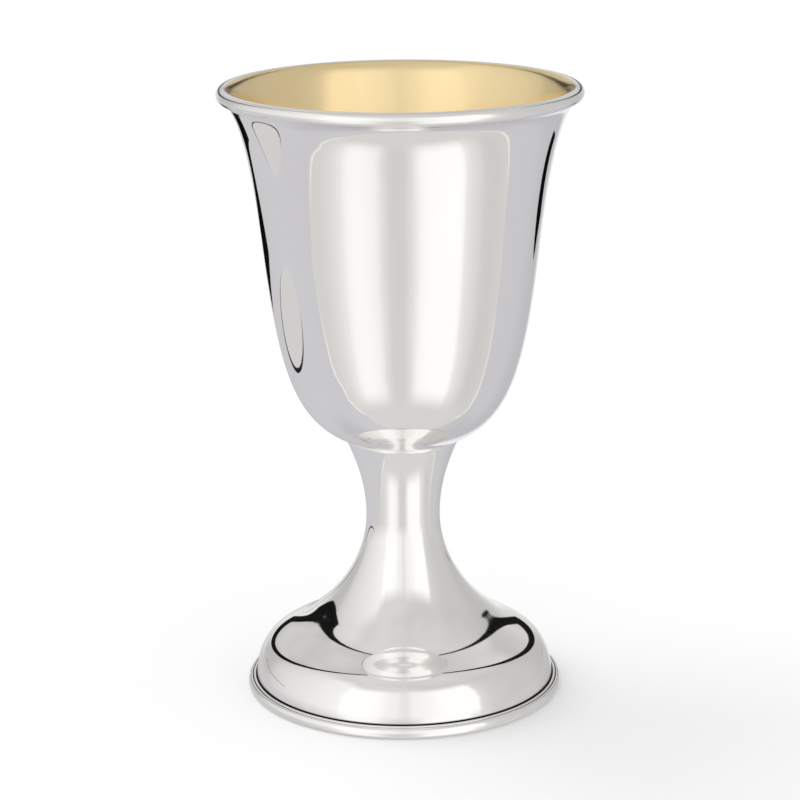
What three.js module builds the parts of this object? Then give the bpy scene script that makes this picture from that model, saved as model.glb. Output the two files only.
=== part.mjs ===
// A plain silver kiddush goblet: a spun bell-shaped bowl with a rolled lip, gilt inside, soldered to a hollow
// stem that sweeps down into a domed round foot with a stepped rim. Millimetres, +Z up. The origin is on the
// cup's axis, in the plane of the flat ring that it stands on.
import * as THREE from "three";

// Driving dimensions.
const CUP_HEIGHT = 138;
const RIM_RADIUS = 40;
const LIP_RADIUS = 1.55; // half the height of the rolled lip
const FOOT_RADIUS = 35.85;
const WALL = 0.7; // thickness of the spun sheet
const SOLDER_GAP = 0.35; // between the stem's top edge and the bowl, straight up
const TURN_STEPS = 48; // facets round the axis
const UP = 90; // heading of a profile that rises straight up

// Stations that the outer profile passes through. A heading is the way the profile runs on its way up, in
// degrees from the outward direction, so 0 is level outwards, 90 is straight up and 180 is level inwards.
const DOME_BASE = { radius: 33.9, height: 2.8, heading: 92 };
const DOME_SHOULDER = { radius: 31.3, height: 10.25, heading: 130 };
const DOME_CREST = { radius: 25.97, height: 13.7, heading: 154.1 };
const SWEEP_START = { radius: 19.4, height: 18.35, heading: 139.8 };
const STEM_WAIST = { radius: 8.35, height: 40.5, heading: UP };
const BOWL_SEAT = { radius: 12.8, height: 58.7, heading: 22 };
const STEM_TOP = { radius: BOWL_SEAT.radius, height: BOWL_SEAT.height - SOLDER_GAP, heading: 65 };
const BOWL_SIDE = { radius: 30.6, height: 102.9, heading: 83.8 };
const LIP_UNDER = -73; // place on the lip's round where the outer wall runs into it, in degrees
const LIP_OVER = 108; // and where the inner wall leaves it

// Half-round edge of the foot's rim, and the narrow ledge between it and the dome.
const FOOT_EDGE = { height: 2.4, swell: 0.45 };
const LEDGE = { outer: 35.2, inner: 34.3, height: 2.75 };
const RING_INNER_RADIUS = 33; // inside edge of the flat ring underneath

function direction(degrees) {
  const angle = THREE.MathUtils.degToRad(degrees);
  return new THREE.Vector2(Math.cos(angle), Math.sin(angle));
}

function place(station) {
  return new THREE.Vector2(station.radius, station.height);
}

// A smooth stretch of profile from one station to the next. It leaves and arrives along their headings, and
// the two pulls say how far it keeps to each.
function stretch(from, to, leavePull, arrivePull) {
  return new THREE.CubicBezierCurve(
    place(from),
    place(from).addScaledVector(direction(from.heading), leavePull),
    place(to).addScaledVector(direction(to.heading), -arrivePull),
    place(to),
  );
}

// Points of the same stretch on the other side of the sheet, one wall thickness in from the outer face.
function innerFace(curve, steps) {
  const points = [];
  for (let i = 0; i <= steps; i += 1) {
    const along = curve.getTangent(i / steps);
    const inward = new THREE.Vector2(-along.y, along.x);
    points.push(curve.getPoint(i / steps).addScaledVector(inward, WALL));
  }
  return points;
}

// The station where the sheet's inner face passes a station of its outer face.
function insideOf(station) {
  const inward = direction(station.heading + 90).multiplyScalar(WALL);
  return {
    radius: station.radius + inward.x,
    height: station.height + inward.y,
    heading: station.heading,
  };
}

// A station on the round of the rolled lip, at an angle from the outward direction.
function lipStation(degrees, heading) {
  const point = direction(degrees).multiplyScalar(LIP_RADIUS);
  return {
    radius: RIM_RADIUS - LIP_RADIUS + point.x,
    height: CUP_HEIGHT - LIP_RADIUS + point.y,
    heading,
  };
}

// Joins runs of points end to end and leaves out a point that repeats the one before it.
function joinRuns(...runs) {
  return runs.flat().filter((point, i, all) => i === 0 || point.distanceTo(all[i - 1]) > 0.01);
}

// Spins a profile about the cup's axis.
function spin(name, profile, material) {
  const mesh = new THREE.Mesh(new THREE.LatheGeometry(profile, TURN_STEPS), material);
  mesh.name = name;
  mesh.rotation.x = Math.PI / 2;
  return mesh;
}

// The bowl: its rounded bottom, bell-shaped side and rolled lip, and the inner face one wall further in.
function bowlProfile() {
  const bottomRadius = BOWL_SEAT.radius / Math.sin(THREE.MathUtils.degToRad(BOWL_SEAT.heading));
  const bottomDrop = bottomRadius * (1 - Math.cos(THREE.MathUtils.degToRad(BOWL_SEAT.heading)));
  const bottomCentre = { radius: 0, height: BOWL_SEAT.height - bottomDrop, heading: 0 };
  const bottomPull = BOWL_SEAT.radius / 3;
  const bottom = stretch(bottomCentre, BOWL_SEAT, bottomPull, bottomPull);
  const belly = stretch(BOWL_SEAT, BOWL_SIDE, 12.4, 28.5);
  const flare = stretch(BOWL_SIDE, lipStation(LIP_UNDER, LIP_UNDER + 90), 12.8, 4.4);
  const innerFlare = stretch(insideOf(BOWL_SIDE), lipStation(LIP_OVER, LIP_OVER - 90), 16, 3.4);
  const lip = new THREE.EllipseCurve(
    RIM_RADIUS - LIP_RADIUS,
    CUP_HEIGHT - LIP_RADIUS,
    LIP_RADIUS,
    LIP_RADIUS,
    THREE.MathUtils.degToRad(LIP_UNDER),
    THREE.MathUtils.degToRad(LIP_OVER),
  );
  const profile = joinRuns(
    bottom.getPoints(3),
    belly.getPoints(11),
    flare.getPoints(6),
    lip.getPoints(7),
    innerFlare.getPoints(6).reverse(),
    innerFace(belly, 9).reverse(),
    innerFace(bottom, 3).reverse(),
  );
  profile[profile.length - 1].x = 0;
  return profile;
}

// The foot and stem: flat ring underneath, half-round edge, ledge, dome, and the long curve up to the stem's
// waist and its flared top, then the inner face back down to the ring.
function footProfile() {
  const edge = new THREE.CubicBezierCurve(
    new THREE.Vector2(FOOT_RADIUS - FOOT_EDGE.swell, 0),
    new THREE.Vector2(FOOT_RADIUS + FOOT_EDGE.swell / 3, FOOT_EDGE.height / 4),
    new THREE.Vector2(FOOT_RADIUS + FOOT_EDGE.swell / 3, FOOT_EDGE.height * 0.75),
    new THREE.Vector2(LEDGE.outer, FOOT_EDGE.height + 0.2),
  );
  const side = stretch(DOME_BASE, DOME_SHOULDER, 2.56, 2.52);
  const shoulder = stretch(DOME_SHOULDER, DOME_CREST, 1.89, 1.93);
  const skirt = stretch(DOME_CREST, SWEEP_START, 3.39, 2.94);
  const sweep = stretch(SWEEP_START, STEM_WAIST, 8.62, 8.43);
  const neck = stretch(STEM_WAIST, STEM_TOP, 6.8, 5.8);
  // The top edge is cut along the slope of the bowl's bottom, which it follows.
  const cut = THREE.MathUtils.degToRad(STEM_TOP.heading - BOWL_SEAT.heading);
  const topEdge = place(STEM_TOP).addScaledVector(direction(BOWL_SEAT.heading), -WALL / Math.sin(cut));
  return joinRuns(
    [new THREE.Vector2(RING_INNER_RADIUS, 0)],
    edge.getPoints(6),
    [new THREE.Vector2(LEDGE.inner, LEDGE.height)],
    side.getPoints(5),
    shoulder.getPoints(3),
    skirt.getPoints(3),
    sweep.getPoints(8),
    neck.getPoints(6),
    [topEdge],
    innerFace(neck, 6).slice(0, -1).reverse(),
    innerFace(sweep, 7).reverse(),
    innerFace(skirt, 3).reverse(),
    innerFace(shoulder, 3).reverse(),
    innerFace(side, 4).reverse(),
    [new THREE.Vector2(RING_INNER_RADIUS, 0)],
  );
}

function giltLinedSilver() {
  return new THREE.MeshStandardMaterial({
    name: "gilt_lined_silver",
    color: 0xe9e3d4,
    roughness: 0.1,
    metalness: 1,
  });
}

function polishedSilver() {
  return new THREE.MeshStandardMaterial({
    name: "polished_silver",
    color: 0xebe9e6,
    roughness: 0.08,
    metalness: 1,
  });
}

const cup = new THREE.Group();
cup.add(spin("bowl", bowlProfile(), giltLinedSilver()));
cup.add(spin("stem_and_foot", footProfile(), polishedSilver()));

export default cup;
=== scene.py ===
"""A polished silver kiddush goblet, gilt inside, on a white floor in a light tent.

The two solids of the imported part, the bowl and the stem with its foot, are replaced by finely turned
surfaces of the same profiles. Each profile is a line of points (radius, height) in metres, listed so that
the metal lies on its left. It is turned about the cup's axis, which is the Z axis.
"""

import math

import bpy
import numpy as np
from mathutils import Matrix, Vector


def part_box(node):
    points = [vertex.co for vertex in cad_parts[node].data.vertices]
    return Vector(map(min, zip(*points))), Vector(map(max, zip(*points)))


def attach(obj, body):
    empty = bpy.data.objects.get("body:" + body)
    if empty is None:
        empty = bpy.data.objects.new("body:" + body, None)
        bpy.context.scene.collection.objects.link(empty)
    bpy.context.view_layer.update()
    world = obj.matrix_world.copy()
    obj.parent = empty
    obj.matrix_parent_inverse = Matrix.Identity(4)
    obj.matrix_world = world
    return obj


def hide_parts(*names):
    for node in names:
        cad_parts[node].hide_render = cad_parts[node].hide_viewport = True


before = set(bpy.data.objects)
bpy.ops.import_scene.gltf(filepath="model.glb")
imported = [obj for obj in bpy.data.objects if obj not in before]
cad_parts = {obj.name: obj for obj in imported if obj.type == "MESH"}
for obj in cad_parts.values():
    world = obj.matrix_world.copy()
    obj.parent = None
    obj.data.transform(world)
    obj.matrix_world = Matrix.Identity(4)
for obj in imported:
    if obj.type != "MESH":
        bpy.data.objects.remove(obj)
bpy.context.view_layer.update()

# ---------------------------------------------------------------------------------------------- sizes
MM = 0.001
DEGREES = math.degrees(1)  # in one radian
RIM_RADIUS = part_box("bowl")[1].x
CUP_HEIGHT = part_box("bowl")[1].z
FOOT_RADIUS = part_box("stem_and_foot")[1].x
LIP_RADIUS = 1.55 * MM  # half the height of the rolled lip
WALL = 0.7 * MM  # thickness of the spun sheet
SOLDER_GAP = 0.35 * MM  # between the stem's top edge and the bowl, straight up
TURN_STEPS = 256  # facets round the axis

# Stations (radius, height, heading) of the outer profile. A heading is the way the profile runs on its way
# up, in degrees from the outward direction: 0 is level outwards, 90 straight up, 180 level inwards.
DOME_BASE = (33.9 * MM, 2.8 * MM, 92)
DOME_SHOULDER = (31.3 * MM, 10.25 * MM, 130)
DOME_CREST = (25.97 * MM, 13.7 * MM, 154.1)
SWEEP_START = (19.4 * MM, 18.35 * MM, 139.8)
STEM_WAIST = (8.35 * MM, 40.5 * MM, 90)
BOWL_SEAT = (12.8 * MM, 58.7 * MM, 22)
STEM_TOP = (BOWL_SEAT[0], BOWL_SEAT[1] - SOLDER_GAP, 65)
BOWL_SIDE = (30.6 * MM, 102.9 * MM, 83.8)
LIP_UNDER = -73  # place on the lip's round where the outer wall runs into it, in degrees
LIP_OVER = 108  # and where the inner wall leaves it

# The foot's rim: flat ring underneath, half-round edge, and a narrow fillet between two fine grooves.
RING_INNER_RADIUS = 33 * MM
RING_OUTER_RADIUS = FOOT_RADIUS - 0.75 * MM
EDGE_HEIGHT = 2.4 * MM
EDGE_WIDEST = 0.47  # where the edge is widest, as a share of its height
EDGE_TOP_RADIUS = 34.98 * MM
FILLET_OUTER_RADIUS = 34.76 * MM
FILLET_INNER_RADIUS = 34.16 * MM
FILLET_HEIGHT = 2.62 * MM
OUTER_GROOVE_DEPTH = 0.22 * MM
INNER_GROOVE_DEPTH = 0.25 * MM
OUTER_GROOVE_REACH = 0.17 * MM  # how far the tarnish and painted shade spread from the bottom of each groove
INNER_GROOVE_REACH = 0.34 * MM


# ------------------------------------------------------------------------------------- profile curves
def direction(degrees):
    """Unit vector (outwards, up) at an angle from the outward direction."""
    angle = np.radians(degrees)
    return np.stack([np.cos(angle), np.sin(angle)], axis=-1)


def stretch(start, end, leave_pull, arrive_pull, count):
    """A cubic Bezier curve between two stations: its inner control points lie along the stations'
    headings, leave_pull after the start and arrive_pull before the end."""
    t = np.linspace(0, 1, count)[:, None]
    first = np.array(start[:2])
    last = np.array(end[:2])
    second = first + direction(start[2]) * leave_pull
    third = last - direction(end[2]) * arrive_pull
    return (
        first * (1 - t) ** 3 + 3 * second * t * (1 - t) ** 2 + 3 * third * t ** 2 * (1 - t) + last * t ** 3
    )


def arc(centre, radius, start_degrees, end_degrees, count):
    """Points of a circle's arc about a centre (radius, height)."""
    return np.array(centre) + direction(np.linspace(start_degrees, end_degrees, count)) * radius


def inner_face(points, wall):
    """The points moved square to the line, one wall thickness to its left."""
    along = np.gradient(points, axis=0)
    along /= np.linalg.norm(along, axis=1, keepdims=True)
    return points + wall * np.stack([-along[:, 1], along[:, 0]], axis=1)


def join(*runs):
    """Joins runs of points end to end without repeating a shared point."""
    points = np.concatenate(runs)
    gaps = np.linalg.norm(np.diff(points, axis=0), axis=1)
    return points[np.concatenate([[True], gaps > 1e-7])]


def inside_of(station):
    """The station where the sheet's inner face passes a station of its outer face."""
    radius, height = np.array(station[:2]) + WALL * direction(station[2] + 90)
    return radius, height, station[2]


def lip_station(degrees, heading):
    """A station on the round of the rolled lip, at an angle from the outward direction."""
    radius, height = lip_centre() + LIP_RADIUS * direction(degrees)
    return radius, height, heading


def lip_centre():
    return np.array([RIM_RADIUS - LIP_RADIUS, CUP_HEIGHT - LIP_RADIUS])


def bowl_profile():
    """Bottom centre, belly, flare and lip outside, then flare, belly and bottom inside. Also returns how
    much of each point is gilt, 0 outside and 1 inside, and how worn it is, 1 round the lip."""
    seat_radius, seat_height, seat_heading = BOWL_SEAT
    bottom_radius = seat_radius / math.sin(math.radians(seat_heading))
    bottom_drop = bottom_radius * (1 - math.cos(math.radians(seat_heading)))
    bottom_centre = (0, seat_height - bottom_drop, 0)
    bottom = stretch(bottom_centre, BOWL_SEAT, seat_radius / 3, seat_radius / 3, 14)
    belly = stretch(BOWL_SEAT, BOWL_SIDE, 12.4 * MM, 28.5 * MM, 90)
    flare = stretch(BOWL_SIDE, lip_station(LIP_UNDER, LIP_UNDER + 90), 12.8 * MM, 4.4 * MM, 56)
    lip = arc(lip_centre(), LIP_RADIUS, LIP_UNDER, LIP_OVER, 32)
    inner_flare = stretch(inside_of(BOWL_SIDE), lip_station(LIP_OVER, LIP_OVER - 90), 16 * MM, 3.4 * MM, 50)
    outside = join(bottom, belly, flare, lip)
    inside = join(inner_flare[::-1], inner_face(belly, WALL)[::-1], inner_face(bottom, WALL)[::-1])[1:]
    inside[-1, 0] = 0
    points = np.concatenate([outside, inside])
    gilt = np.zeros(len(points))
    gilt[len(outside):] = 1
    from_lip = np.linalg.norm(points - lip_centre(), axis=1)
    worn = np.clip(2.2 - from_lip / LIP_RADIUS, 0, 1)
    return points, gilt, worn


def groove(start, end, depth, count):
    """A fine groove between two points: a line that dips by depth * sin(pi t), square to its left."""
    t = np.linspace(0, 1, count)[:, None]
    start, end = np.array(start), np.array(end)
    along = (end - start) / np.linalg.norm(end - start)
    return start * (1 - t) + end * t + np.array([-along[1], along[0]]) * depth * np.sin(math.pi * t)


def foot_profile():
    """Flat ring, half-round edge, groove, fillet, groove, dome, long sweep and neck outside, then back down
    inside. Also returns how much tarnish and painted shade each point gets: 1 in the grooves and 0 on the
    polished metal."""
    ring = np.array([[RING_INNER_RADIUS, 0], [RING_OUTER_RADIUS - 0.3 * MM, 0], [RING_OUTER_RADIUS, 0]])
    edge_top = (EDGE_TOP_RADIUS, EDGE_HEIGHT, 185)
    edge_middle = (FOOT_RADIUS, EDGE_HEIGHT * EDGE_WIDEST, 90)
    edge = join(
        stretch((RING_OUTER_RADIUS, 0, 0), edge_middle, 0.5 * MM, 0.6 * MM, 12),
        stretch(edge_middle, edge_top, 0.75 * MM, 0.5 * MM, 14),
    )
    fillet_start = (FILLET_OUTER_RADIUS, FILLET_HEIGHT - 0.2 * MM, 100)
    fillet_end = (FILLET_INNER_RADIUS, FILLET_HEIGHT - 0.05 * MM, 225)
    fillet = stretch(fillet_start, fillet_end, 0.3 * MM, 0.2 * MM, 12)
    side = stretch(DOME_BASE, DOME_SHOULDER, 2.56 * MM, 2.52 * MM, 60)
    shoulder = stretch(DOME_SHOULDER, DOME_CREST, 1.89 * MM, 1.93 * MM, 40)
    crest = stretch(DOME_CREST, SWEEP_START, 3.39 * MM, 2.94 * MM, 40)
    sweep = stretch(SWEEP_START, STEM_WAIST, 8.62 * MM, 8.43 * MM, 70)
    neck = stretch(STEM_WAIST, STEM_TOP, 6.8 * MM, 5.8 * MM, 44)
    outer_groove = groove(edge_top[:2], fillet_start[:2], OUTER_GROOVE_DEPTH, 9)
    inner_groove = groove(fillet_end[:2], DOME_BASE[:2], INNER_GROOVE_DEPTH, 9)
    upper = join(side, shoulder, crest, sweep, neck)
    outside = join(ring, edge, outer_groove, fillet, inner_groove, upper)
    # A bead of solder closes the gap under the bowl, and the stem's top edge is cut along the bowl's slope.
    seat_slope = direction(BOWL_SEAT[2])
    solder = np.array(STEM_TOP[:2]) + np.array([[0.0, 0.5 * SOLDER_GAP], [-0.1 * MM, SOLDER_GAP]])
    cut = math.radians(STEM_TOP[2] - BOWL_SEAT[2])
    top_edge = np.array(STEM_TOP[:2]) - seat_slope * WALL / math.sin(cut)
    inside = join(top_edge[None], inner_face(upper, WALL)[-4::-3])
    points = np.concatenate([outside, solder, inside])
    # Tarnish and painted shade: the metal darkens near the bottom of each groove and fades out over the
    # groove's reach.
    from_groove = np.minimum(
        np.linalg.norm(points - outer_groove[4], axis=1) / OUTER_GROOVE_REACH,
        np.linalg.norm(points - inner_groove[5], axis=1) / INNER_GROOVE_REACH,
    )
    return points, np.clip(1.6 - from_groove, 0, 1)


def turned(name, points, closed, shares):
    """The surface of revolution of a profile: point i at angle a is (radius_i cos a, radius_i sin a,
    height_i). A closed profile joins its last point to its first. An open one begins and ends on the axis,
    where one vertex closes each pole. Each of the shares is a number per profile point, kept as an
    attribute for the finish."""
    angles = np.arange(TURN_STEPS) * (2 * math.pi / TURN_STEPS)
    body = points if closed else points[1:-1]
    rings = len(body)
    grid = np.empty((rings, TURN_STEPS, 3))
    grid[..., 0] = body[:, :1] * np.cos(angles)
    grid[..., 1] = body[:, :1] * np.sin(angles)
    grid[..., 2] = body[:, 1:]
    index = np.arange(rings * TURN_STEPS).reshape(rings, TURN_STEPS)
    low = index if closed else index[:-1]
    high = np.roll(index, -1, axis=0) if closed else index[1:]
    next_low = np.roll(low, -1, axis=1)
    next_high = np.roll(high, -1, axis=1)
    faces = np.stack([low, next_low, next_high, high], axis=-1).reshape(-1, 4).tolist()
    vertices = grid.reshape(-1, 3)
    if not closed:
        first_pole = np.full(TURN_STEPS, len(vertices))
        vertices = np.concatenate([vertices, [[0, 0, points[0, 1]], [0, 0, points[-1, 1]]]])
        faces += np.stack([first_pole, np.roll(index[0], -1), index[0]], axis=1).tolist()
        faces += np.stack([first_pole + 1, index[-1], np.roll(index[-1], -1)], axis=1).tolist()
    mesh = bpy.data.meshes.new(name)
    mesh.from_pydata(vertices.tolist(), [], faces)
    mesh.polygons.foreach_set("use_smooth", np.ones(len(mesh.polygons), bool))
    for kind, share in shares.items():
        ring_share = share if closed else share[1:-1]
        poles = [] if closed else [share[0], share[-1]]
        attribute = mesh.attributes.new(kind, "FLOAT", "POINT")
        values = np.concatenate([np.repeat(ring_share, TURN_STEPS), poles])
        attribute.data.foreach_set("value", values.astype(np.float32))
    mesh.validate()
    piece = bpy.data.objects.new(name, mesh)
    bpy.context.scene.collection.objects.link(piece)
    return piece


# ---------------------------------------------------------------------------------------- shader maths
class Value:
    """A socket that can stand in an expression. Each operator adds one Math node."""

    def __init__(self, tree, socket):
        self.tree = tree
        self.socket = socket

    def __add__(self, other):
        return self.tree.math("ADD", self, other)

    __radd__ = __add__

    def __sub__(self, other):
        return self.tree.math("SUBTRACT", self, other)

    def __rsub__(self, other):
        return self.tree.math("SUBTRACT", other, self)

    def __mul__(self, other):
        return self.tree.math("MULTIPLY", self, other)

    __rmul__ = __mul__

    def __truediv__(self, other):
        return self.tree.math("DIVIDE", self, other)

    def __abs__(self):
        return self.tree.math("ABSOLUTE", self)


def fill_curve(mapping, points):
    """Gives a curve mapping its points, joined smoothly and without overshoot."""
    line = mapping.curves[0].points
    for _ in points[2:]:
        line.new(0.5, 0.5)
    for handle, (along, level) in zip(line, points):
        handle.location = (along, level)
        handle.handle_type = "AUTO_CLAMPED"
    mapping.update()


class Tree:
    """A node tree that is being filled."""

    def __init__(self, owner):
        owner.use_nodes = True
        self.nodes = owner.node_tree.nodes
        self.links = owner.node_tree.links
        self.nodes.clear()

    def node(self, kind, settings=None, inputs=None, output=0):
        """Adds a node, sets its settings and then its sockets, each by a value or a link, and returns one
        of its outputs."""
        node = self.nodes.new(kind)
        for name, value in (settings or {}).items():
            if name == "points":
                fill_curve(node.mapping, value)
            else:
                setattr(node, name, value)
        for key, value in (inputs or {}).items():
            if isinstance(value, Value):
                self.links.new(value.socket, node.inputs[key])
            else:
                node.inputs[key].default_value = value
        return Value(self, node.outputs[output]) if len(node.outputs) else node

    def math(self, operation, *operands):
        """One Math node on values and numbers."""
        return self.node("ShaderNodeMath", {"operation": operation}, dict(enumerate(operands)))

    def step(self, value, low, high, start=0.0, end=1.0):
        """A smooth change from start to end while value goes from low to high."""
        inputs = {"Value": value, "From Min": low, "From Max": high, "To Min": start, "To Max": end}
        return self.node("ShaderNodeMapRange", {"interpolation_type": "SMOOTHSTEP"}, inputs)

    def band(self, value, low, high, softness):
        """1 between low and high and 0 outside, with soft edges of the given width."""
        rise = self.step(value, low - softness / 2, low + softness / 2)
        fall = self.step(value, high - softness / 2, high + softness / 2, 1.0, 0.0)
        return rise * fall

    def curve(self, azimuth, stops):
        """A smooth level over azimuths from -180 to 180, through (azimuth, level) stops."""
        points = [(0.5 + stop / 360, level / BRIGHTEST) for stop, level in stops]
        inputs = {"Value": azimuth / 360 + 0.5}
        return self.node("ShaderNodeFloatCurve", {"points": points}, inputs) * BRIGHTEST

    def blend(self, factor, first, second):
        """Mixes two numbers."""
        return first * (1 - factor) + factor * second

    def mix(self, factor, first, second):
        """Mixes two colours."""
        inputs = {"Factor": factor, "A": first, "B": second}
        settings = {"data_type": "RGBA", "clamp_factor": True}
        return self.node("ShaderNodeMix", settings, inputs, output=2)

    def split(self, vector):
        """The three numbers of a vector."""
        node = self.node("ShaderNodeSeparateXYZ", None, {"Vector": vector}).socket.node
        return [Value(self, socket) for socket in node.outputs]

    def vector(self, x, y, z):
        return self.node("ShaderNodeCombineXYZ", None, {"X": x, "Y": y, "Z": z})

    def noise(self, vector, scale, detail=2.0, roughness=0.5):
        inputs = {"Vector": vector, "Scale": scale, "Detail": detail, "Roughness": roughness}
        return self.node("ShaderNodeTexNoise", None, inputs)


# ------------------------------------------------------------------------------------------- materials
SILVER = (0.945, 0.940, 0.932, 1)
WORN_SILVER = (0.925, 0.918, 0.905, 1)
# Nearly black: tarnish and painted shade in the foot's grooves.
TARNISH_AND_SHADE = (0.012, 0.011, 0.010, 1)
GOLD = (0.955, 0.770, 0.450, 1)
WORN_GOLD = (0.92, 0.73, 0.41, 1)


RINGS_PER_METRE = 2200  # fine rings left by the lathe, across the profile
RING_DRIFT = 0.6  # how far they wander in one turn
FOOT_RING_DEPTH = 9e-7
BOWL_RING_DEPTH = 4e-7
FOOT_WAVE_DEPTH = 2.5e-6  # faint waves of hand polishing
BOWL_WAVE_DEPTH = 3.0e-6
POLISHED_ROUGHNESS = 0.035


def lathe_coordinates(tree, across, around):
    """A place on a turned surface for patterns that run round it: across is the number of pattern units
    per metre of radius and height, and around is how far the pattern drifts in one turn."""
    x, y, z = tree.split(tree.node("ShaderNodeTexCoord", output="Object"))
    radius = tree.math("SQRT", x * x + y * y)
    angle = tree.math("ARCTAN2", y, x)
    cosine = tree.math("COSINE", angle)
    sine = tree.math("SINE", angle)
    return tree.vector(radius * across + cosine * around, z * across, sine * around)


def polished_finish(tree, spin_depth, dent_depth):
    """Fine rings left by the lathe and the faint waves of hand polishing, as a normal."""
    place = tree.node("ShaderNodeTexCoord", output="Object")
    rings = tree.noise(lathe_coordinates(tree, RINGS_PER_METRE, RING_DRIFT), 1.0, 2.0, 0.6)
    waves = tree.noise(place, 60.0, 1.0)
    fine = tree.node("ShaderNodeBump", None, {"Height": rings, "Strength": 1.0, "Distance": spin_depth})
    inputs = {"Height": waves, "Strength": 1.0, "Distance": dent_depth, "Normal": fine}
    return tree.node("ShaderNodeBump", None, inputs)


def wipe_marks(tree):
    """Broad faint patches, 0 to 1, where the polishing cloth left the metal a little less bright."""
    place = tree.node("ShaderNodeTexCoord", output="Object")
    stretched = tree.node("ShaderNodeMapping", None, {"Vector": place, "Scale": (40.0, 40.0, 14.0)})
    return tree.step(tree.noise(stretched, 1.0, 3.0, 0.55), 0.42, 0.72)


def surface(material, tree, inputs):
    """Joins the shader's inputs to the material's output."""
    shader = tree.node("ShaderNodeBsdfPrincipled", None, inputs)
    tree.node("ShaderNodeOutputMaterial", None, {"Surface": shader})
    return material


def share_of(tree, kind):
    """The number that a piece's profile gives for a kind of finish, 0 to 1."""
    return tree.node("ShaderNodeAttribute", {"attribute_name": kind}, output="Fac")


def polished_silver():
    """Bright silver with fine rings, faint wiping marks, and tarnish and painted shade in the grooves."""
    material = bpy.data.materials.new("polished_silver")
    tree = Tree(material)
    marks = wipe_marks(tree)
    tarnish = share_of(tree, "tarnish")
    clean = tree.mix(marks, SILVER, WORN_SILVER)
    return surface(material, tree, {
        # The grooves are painted almost black, as tarnish and painted shade.
        "Base Color": tree.mix(tarnish, clean, TARNISH_AND_SHADE),
        "Metallic": 1.0,
        "Roughness": marks * 0.025 + POLISHED_ROUGHNESS + tarnish * 0.3,
        "Normal": polished_finish(tree, FOOT_RING_DEPTH, FOOT_WAVE_DEPTH),
    })


def gilt_lined_silver():
    """Bright silver outside and a satin gold wash inside, with a slightly ragged line between them."""
    material = bpy.data.materials.new("gilt_lined_silver")
    tree = Tree(material)
    marks = wipe_marks(tree)
    place = tree.node("ShaderNodeTexCoord", output="Object")
    ragged = (tree.noise(place, 900.0, 2.0) - 0.5) * 0.5
    gilt = tree.step(share_of(tree, "gilding") + ragged, 0.35, 0.65)
    worn = share_of(tree, "wear") * (1 - gilt)
    silver = tree.mix(marks, SILVER, WORN_SILVER)
    return surface(material, tree, {
        "Base Color": tree.mix(gilt, silver, tree.mix(marks, GOLD, WORN_GOLD)),
        "Metallic": 1.0,
        "Roughness": marks * 0.03 + POLISHED_ROUGHNESS + gilt * 0.16 + worn * 0.12,
        "Normal": polished_finish(tree, BOWL_RING_DEPTH, BOWL_WAVE_DEPTH),
    })


def floor_paper():
    material = bpy.data.materials.new("white_floor_paper")
    tree = Tree(material)
    return surface(material, tree, {"Base Color": (0.9, 0.9, 0.9, 1), "Roughness": 0.9})


# ---------------------------------------------------------------------------------------------- studio
DISC_AZIMUTH = 183.6  # the middle of the round diffuser that leans over the cup from behind, in degrees
DISC_ELEVATION = 43
DISC_RADIUS = 39.4
RIM_DARKNESS = 0.985
PAPER_TINT = (1.0, 0.99, 0.970, 1)
BACKDROP_TINT = (1.0, 0.985, 1.02, 1)  # a little cooler than the paper
BLACK_CARD = 0.004
NO_TINT = (1, 1, 1, 1)
FLOOR_RADIUS = 4
FLOOR_SIDES = 64

# How bright the surroundings are by azimuth, as (degrees, level) stops: the tent's walls above the table's
# far edge, and the table below it. 1 is paper white.
BRIGHTEST = 1.2
WALL_LEVELS = [
    (-180, 0.80), (-165, 0.84), (-152, 0.60), (-138, 0.52), (-120, 0.68), (-100, 0.79), (-75, 0.88),
    (-52, 0.98), (-48, 1.08), (-26, 1.07), (-13, 0.96), (-6, 0.93), (0, 0.84), (6, 0.93), (13, 0.97),
    (24, 1.03), (32, 1.08), (56, 1.08), (60, 0.78), (72, 0.66), (92, 0.61), (115, 0.60), (138, 0.54),
    (152, 0.56), (165, 0.72), (180, 0.80),
]
TABLE_LEVELS = [
    (-180, 0.58), (-170, 0.62), (-150, 0.67), (-90, 0.69), (-76, 0.68), (-65, 0.72), (-50, 0.86),
    (-36, 1.02), (-25, 0.98), (-13, 0.76), (-2, 0.67), (6, 0.74), (14, 0.93), (22, 1.05), (46, 1.07),
    (51, 1.02), (54, 0.88), (66, 0.73), (78, 0.64), (95, 0.67), (120, 0.66), (140, 0.60), (154, 0.58),
    (162, 0.85), (172, 0.98), (180, 0.75),
]


def direction_of(azimuth, elevation):
    """Unit vector towards an azimuth (0 is the front, -Y, and 90 is +X) and an elevation, in degrees."""
    a = math.radians(azimuth)
    e = math.radians(elevation)
    return Vector((math.sin(a) * math.cos(e), -math.cos(a) * math.cos(e), math.sin(e)))


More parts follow.
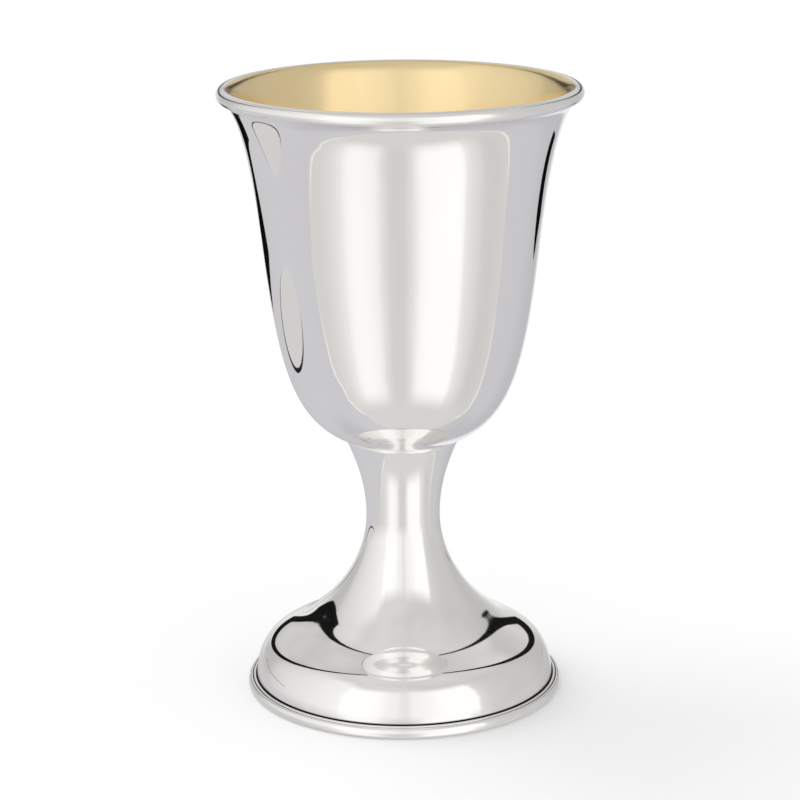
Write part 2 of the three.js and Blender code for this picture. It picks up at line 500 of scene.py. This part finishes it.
def light_tent():
    """What the metal mirrors, by direction: tent walls with two bright windows in front, the lit table, a
    dim ceiling behind a black-rimmed diffuser, and a cooler backdrop behind the cup."""
    world = bpy.data.worlds.new("light_tent")
    bpy.context.scene.world = world
    tree = Tree(world)
    place = tree.node("ShaderNodeTexCoord", output="Generated")
    x, y, z = tree.split(place)
    folds = tree.noise(place, 4.0, 2.0) - 0.5
    azimuth = tree.math("ARCTAN2", x, 0.0 - y) * DEGREES
    elevation = tree.math("ARCSINE", z) * DEGREES

    waved = azimuth + folds * 5.0
    walls = tree.curve(waved, WALL_LEVELS)
    table = tree.curve(waved, TABLE_LEVELS)
    near_table = tree.step(elevation, -44, -58)
    table = table * (1 - near_table) + near_table * tree.step(abs(azimuth), 70, 130, 0.70, 0.60)
    level = tree.blend(tree.step(elevation, -1, -19), walls, table)
    left_wall = tree.band(azimuth, -125, -55, 30)
    ceiling = tree.step(elevation - left_wall * 12, 38, 54)
    level = tree.blend(ceiling, level, tree.noise(place, 2.2, 1.0) * 0.3 + 0.52)

    centre = direction_of(DISC_AZIMUTH, DISC_ELEVATION)
    facing = x * centre.x + y * centre.y + z * centre.z
    off_centre = tree.math("ARCCOSINE", facing) * DEGREES + folds * 1.2
    disc = tree.step(off_centre, DISC_RADIUS + 0.3, DISC_RADIUS - 0.3)
    clouds = tree.noise(tree.vector(x, y, z * 2.0 + x), 1.6, 1.0)
    level = tree.blend(disc, level, clouds * 0.5 + 0.36)
    rim_width = tree.step(elevation, 14, 78, 2.9, 0.6)
    rim = tree.step(abs(off_centre - DISC_RADIUS) - rim_width, 0.35, -0.35)
    level = level * (1 - rim * RIM_DARKNESS)

    edge = y - z * (0.115 - x * 0.34) + folds * 0.16
    low = tree.step(elevation, -8, -16)
    behind = tree.step(edge, -0.006, 0.006) * low
    crease = tree.band(edge, -0.034, -0.012, 0.014) * tree.band(elevation, -58, -27, 8)
    level = level * (1 - behind * 0.09) + crease * 0.2
    tint = tree.mix(behind, PAPER_TINT, BACKDROP_TINT)
    seen = tree.node("ShaderNodeLightPath", output="Is Camera Ray")
    tent = tree.node("ShaderNodeBackground", None, {"Color": tint, "Strength": level})
    plain = tree.node("ShaderNodeBackground", None, {"Color": NO_TINT, "Strength": 1.0})
    both = tree.node("ShaderNodeMixShader", None, {0: seen, 1: tent, 2: plain})
    tree.node("ShaderNodeOutputWorld", None, {"Surface": both})
    world.cycles_visibility.diffuse = False


def mirrored_paper(name, level, tint):
    """An evenly lit paper that only shows in the metal."""
    material = bpy.data.materials.new(name)
    tree = Tree(material)
    shader = tree.node("ShaderNodeEmission", None, {"Color": tint, "Strength": level})
    tree.node("ShaderNodeOutputMaterial", None, {"Surface": shader})
    return material


def mirrored_card(name, outline, height, level, tint=NO_TINT):
    """A flat card that lies round the cup, given by its outline (x, y), and that only the metal shows."""
    points = [(x, y, height) for x, y in outline]
    mesh = bpy.data.meshes.new(name)
    mesh.from_pydata(points, [], [list(range(len(points)))])
    mesh.materials.append(mirrored_paper(name, level, tint))
    card = bpy.data.objects.new(name, mesh)
    bpy.context.scene.collection.objects.link(card)
    card.visible_camera = False
    card.visible_diffuse = False
    card.visible_shadow = False
    card.visible_transmission = False


def rectangle(left, right, near, far):
    return [(left, near), (right, near), (right, far), (left, far)]


def oval(centre, radii, count=48):
    """Points (x, y) of an upright ellipse: centre + (radius_x cos a, radius_y sin a)."""
    angles = np.linspace(0, 2 * math.pi, count + 1)[:-1]
    x = centre[0] + radii[0] * np.cos(angles)
    y = centre[1] + radii[1] * np.sin(angles)
    return np.stack([x, y], axis=1).tolist()


def cards():
    """Two black strips on the table behind the cup and a small round reflector with a dark rim."""
    mirrored_card("left_strip", rectangle(-0.24, -0.122, 0.29, 0.47), 0.0, BLACK_CARD)
    mirrored_card("right_strip", rectangle(0.225, 0.29, 0.285, 0.365), 0.0, BLACK_CARD)
    mirrored_card("reflector_rim", oval((-0.211, 0.098), (0.077, 0.073)), 0.001, 0.01)
    mirrored_card("reflector", oval((-0.214, 0.095), (0.073, 0.069)), 0.002, 0.67, (1, 0.98, 0.975, 1))


def floor():
    """A wide flat disc under the foot. The metal doesn't mirror it: the tent already holds the floor."""
    points = [(x, y, 0) for x, y in oval((0, 0), (FLOOR_RADIUS, FLOOR_RADIUS), FLOOR_SIDES)]
    mesh = bpy.data.meshes.new("floor")
    mesh.from_pydata(points, [], [list(range(FLOOR_SIDES))])
    mesh.materials.append(floor_paper())
    disc = bpy.data.objects.new("floor", mesh)
    bpy.context.scene.collection.objects.link(disc)
    disc.visible_glossy = False


def soft_lamp(name, strength, spread, azimuth, elevation):
    """A very soft distant light from a direction. It lights the floor and isn't mirrored in the metal."""
    lamp = bpy.data.lights.new(name, "SUN")
    lamp.energy = strength
    lamp.angle = math.radians(spread)
    holder = bpy.data.objects.new(name, lamp)
    bpy.context.scene.collection.objects.link(holder)
    holder.rotation_mode = "QUATERNION"
    holder.rotation_quaternion = direction_of(azimuth, elevation).to_track_quat("Z", "Y")
    holder.visible_glossy = False


# Camera: stands in front of the cup, looks down on it, and is turned a little about its own line of sight.
CAMERA_DISTANCE = 0.56026
CAMERA_HEIGHT = 0.22243
CAMERA_PITCH = 15.51
CAMERA_YAW = 0.055
CAMERA_ROLL = -0.448
CAMERA_LENS = 116.7


def camera():
    """Places the camera in front of the cup and makes it the scene's own."""
    data = bpy.data.cameras.new("camera")
    data.lens = CAMERA_LENS
    data.sensor_width = 36
    data.clip_start = 0.05
    data.clip_end = 20
    holder = bpy.data.objects.new("camera", data)
    bpy.context.scene.collection.objects.link(holder)
    turn = Matrix.Rotation(math.radians(CAMERA_YAW), 4, "Z")
    tilt = Matrix.Rotation(math.radians(90 - CAMERA_PITCH), 4, "X")
    roll = Matrix.Rotation(math.radians(CAMERA_ROLL), 4, "Z")
    holder.matrix_world = Matrix.Translation((0, -CAMERA_DISTANCE, CAMERA_HEIGHT)) @ turn @ tilt @ roll
    bpy.context.scene.camera = holder


def dress(piece, material, node):
    """Gives a piece its material and puts it in place of its solid."""
    piece.data.materials.append(material)
    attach(piece, "root")
    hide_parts(node)


bowl_points, gilt_share, worn_share = bowl_profile()
bowl = turned("turned_bowl", bowl_points, False, {"gilding": gilt_share, "wear": worn_share})
foot_points, tarnish_and_shade_share = foot_profile()
foot = turned("turned_stem_and_foot", foot_points, True, {"tarnish": tarnish_and_shade_share})
dress(bowl, gilt_lined_silver(), "bowl")
dress(foot, polished_silver(), "stem_and_foot")

floor()
light_tent()
cards()
soft_lamp("overhead_light", 2.9, 150, 0, 88)
soft_lamp("side_light", 0.9, 50, -125, 50)
camera()
bpy.context.scene.view_settings.view_transform = "Standard"
